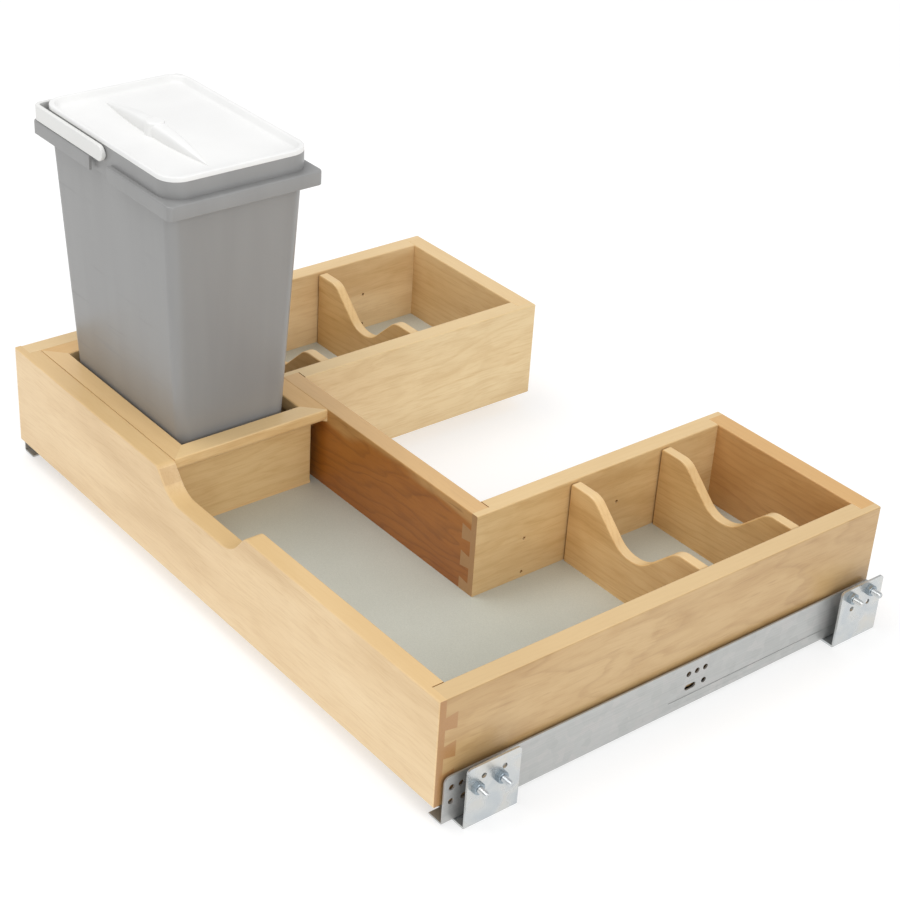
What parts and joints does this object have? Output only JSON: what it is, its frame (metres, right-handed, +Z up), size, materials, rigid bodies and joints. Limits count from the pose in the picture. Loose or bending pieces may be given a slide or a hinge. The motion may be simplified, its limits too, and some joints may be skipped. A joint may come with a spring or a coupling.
{
  "type": "under-sink pull-out drawer",
  "caption": "U-shaped maple under-sink drawer on full-extension undermount slides, with scooped dividers and a lidded grey waste bin in a wooden holder.",
  "frame": {"origin": "on the ground below the middle of the box, at the level of the bracket undersides", "axes": "+Z up, the drawer opens towards -Y, +X to the right seen from the front"},
  "size_m": [0.738, 0.5, 0.3923],
  "materials": {
    "maple": "clear satin lacquer",
    "maple_heartwood": "clear satin lacquer over darker heartwood",
    "birch_ply": "clear lacquer",
    "grey_laminate": "matt melamine",
    "grey_polypropylene": "moulded, fine texture",
    "white_polypropylene": "moulded, satin gloss",
    "bright_steel": "bright",
    "cage_nylon": "moulded",
    "galvanised_steel": "galvanised sheet",
    "zinc_plated_steel": "bright zinc plate",
    "lock_nylon": "moulded",
    "lever_nylon": "moulded",
    "black_rubber": "moulded"
  },
  "bodies": {
    "rails": {"left_cabinet_rail": "galvanised_steel", "left_front_bracket": "zinc_plated_steel", "left_rear_bracket": "zinc_plated_steel", "left_bracket_studs": "zinc_plated_steel", "left_bracket_nuts": "zinc_plated_steel", "left_bracket_rivets": "zinc_plated_steel", "left_stop_bumper": "black_rubber", "right_cabinet_rail": "galvanised_steel", "right_front_bracket": "zinc_plated_steel", "right_rear_bracket": "zinc_plated_steel", "right_bracket_studs": "zinc_plated_steel", "right_bracket_nuts": "zinc_plated_steel", "right_bracket_rivets": "zinc_plated_steel", "right_stop_bumper": "black_rubber"},
    "drawer": {"bottom_panel": "birch_ply", "centre_panel": "maple_heartwood", "divider_pins": "bright_steel", "floor_laminate": "grey_laminate", "front_panel": "maple", "holder_back_rail": "maple", "holder_cleats": "maple", "holder_front_rail": "maple", "holder_left_rail": "maple", "holder_right_rail": "maple", "holder_sill": "maple", "holder_stand_panel": "maple", "left_drawer_rail": "galvanised_steel", "left_lock_body": "lock_nylon", "left_side_panel": "maple", "left_wing_back_panel": "maple", "left_wing_inner_panel": "maple", "lock_screws": "bright_steel", "right_drawer_rail": "galvanised_steel", "right_lock_body": "lock_nylon", "right_side_panel": "maple", "right_wing_back_panel": "maple", "right_wing_inner_panel": "maple"},
    "left_middle": {"left_middle_rail": "galvanised_steel"},
    "left_lower_bearing": {"left_lower_roller_cage": "cage_nylon", "left_lower_rollers": "bright_steel"},
    "left_upper_bearing": {"left_upper_roller_cage": "cage_nylon", "left_upper_rollers": "bright_steel"},
    "left_lever": {"left_release_lever": "lever_nylon"},
    "left_front_divider_body": {"left_front_divider": "maple"},
    "left_rear_divider_body": {"left_rear_divider": "maple"},
    "right_middle": {"right_middle_rail": "galvanised_steel"},
    "right_lower_bearing": {"right_lower_roller_cage": "cage_nylon", "right_lower_rollers": "bright_steel"},
    "right_upper_bearing": {"right_upper_roller_cage": "cage_nylon", "right_upper_rollers": "bright_steel"},
    "right_lever": {"right_release_lever": "lever_nylon"},
    "right_front_divider_body": {"right_front_divider": "maple"},
    "right_rear_divider_body": {"right_rear_divider": "maple"},
    "bin": {"bin_body": "grey_polypropylene", "bail_pivots": "white_polypropylene"},
    "lid": {"bin_lid": "white_polypropylene"},
    "bail": {"bin_bail": "white_polypropylene"}
  },
  "joints": [
    {"name": "drawer_slide", "type": "slide", "parent": "rails", "child": "drawer", "axis": [0, -1, 0], "range_m": [0, 0.45]},
    {"name": "left_middle_slide", "type": "slide", "parent": "rails", "child": "left_middle", "axis": [0, -1, 0], "range_m": [0, 0.225]},
    {"name": "left_lower_bearing_slide", "type": "slide", "parent": "rails", "child": "left_lower_bearing", "axis": [0, -1, 0], "range_m": [0, 0.1125]},
    {"name": "left_upper_bearing_slide", "type": "slide", "parent": "rails", "child": "left_upper_bearing", "axis": [0, -1, 0], "range_m": [0, 0.3375]},
    {"name": "right_middle_slide", "type": "slide", "parent": "rails", "child": "right_middle", "axis": [0, -1, 0], "range_m": [0, 0.225]},
    {"name": "right_lower_bearing_slide", "type": "slide", "parent": "rails", "child": "right_lower_bearing", "axis": [0, -1, 0], "range_m": [0, 0.1125]},
    {"name": "right_upper_bearing_slide", "type": "slide", "parent": "rails", "child": "right_upper_bearing", "axis": [0, -1, 0], "range_m": [0, 0.3375]},
    {"name": "left_lever_hinge", "type": "hinge", "parent": "drawer", "child": "left_lever", "pos_m": [-0.2725, -0.188, 0.0261], "axis": [0, 0, 1], "range_deg": [0, 12], "stiffness_Nm_per_rad": 0.05},
    {"name": "left_front_divider_lift", "type": "slide", "parent": "drawer", "child": "left_front_divider_body", "axis": [0, 0, 1], "range_m": [0, 0.1]},
    {"name": "left_rear_divider_lift", "type": "slide", "parent": "drawer", "child": "left_rear_divider_body", "axis": [0, 0, 1], "range_m": [0, 0.1]},
    {"name": "right_lever_hinge", "type": "hinge", "parent": "drawer", "child": "right_lever", "pos_m": [0.2725, -0.188, 0.0261], "axis": [0, 0, -1], "range_deg": [0, 12], "stiffness_Nm_per_rad": 0.05},
    {"name": "right_front_divider_lift", "type": "slide", "parent": "drawer", "child": "right_front_divider_body", "axis": [0, 0, 1], "range_m": [0, 0.1]},
    {"name": "right_rear_divider_lift", "type": "slide", "parent": "drawer", "child": "right_rear_divider_body", "axis": [0, 0, 1], "range_m": [0, 0.1]},
    {"name": "bin_lift", "type": "slide", "parent": "drawer", "child": "bin", "axis": [0, 0, 1], "range_m": [0, 0.12]},
    {"name": "lid_lift", "type": "slide", "parent": "bin", "child": "lid", "axis": [0, 0, 1], "range_m": [0, 0.06]},
    {"name": "bail_hinge", "type": "hinge", "parent": "bin", "child": "bail", "pos_m": [-0.193, -0.151, 0.3738], "axis": [0, 1, 0], "range_deg": [0, 180]}
  ],
  "couplings": [
    {"joint": "left_middle_slide", "follows": "drawer_slide", "ratio": 0.5},
    {"joint": "left_lower_bearing_slide", "follows": "drawer_slide", "ratio": 0.25},
    {"joint": "left_upper_bearing_slide", "follows": "drawer_slide", "ratio": 0.75},
    {"joint": "right_middle_slide", "follows": "drawer_slide", "ratio": 0.5},
    {"joint": "right_lower_bearing_slide", "follows": "drawer_slide", "ratio": 0.25},
    {"joint": "right_upper_bearing_slide", "follows": "drawer_slide", "ratio": 0.75}
  ]
}
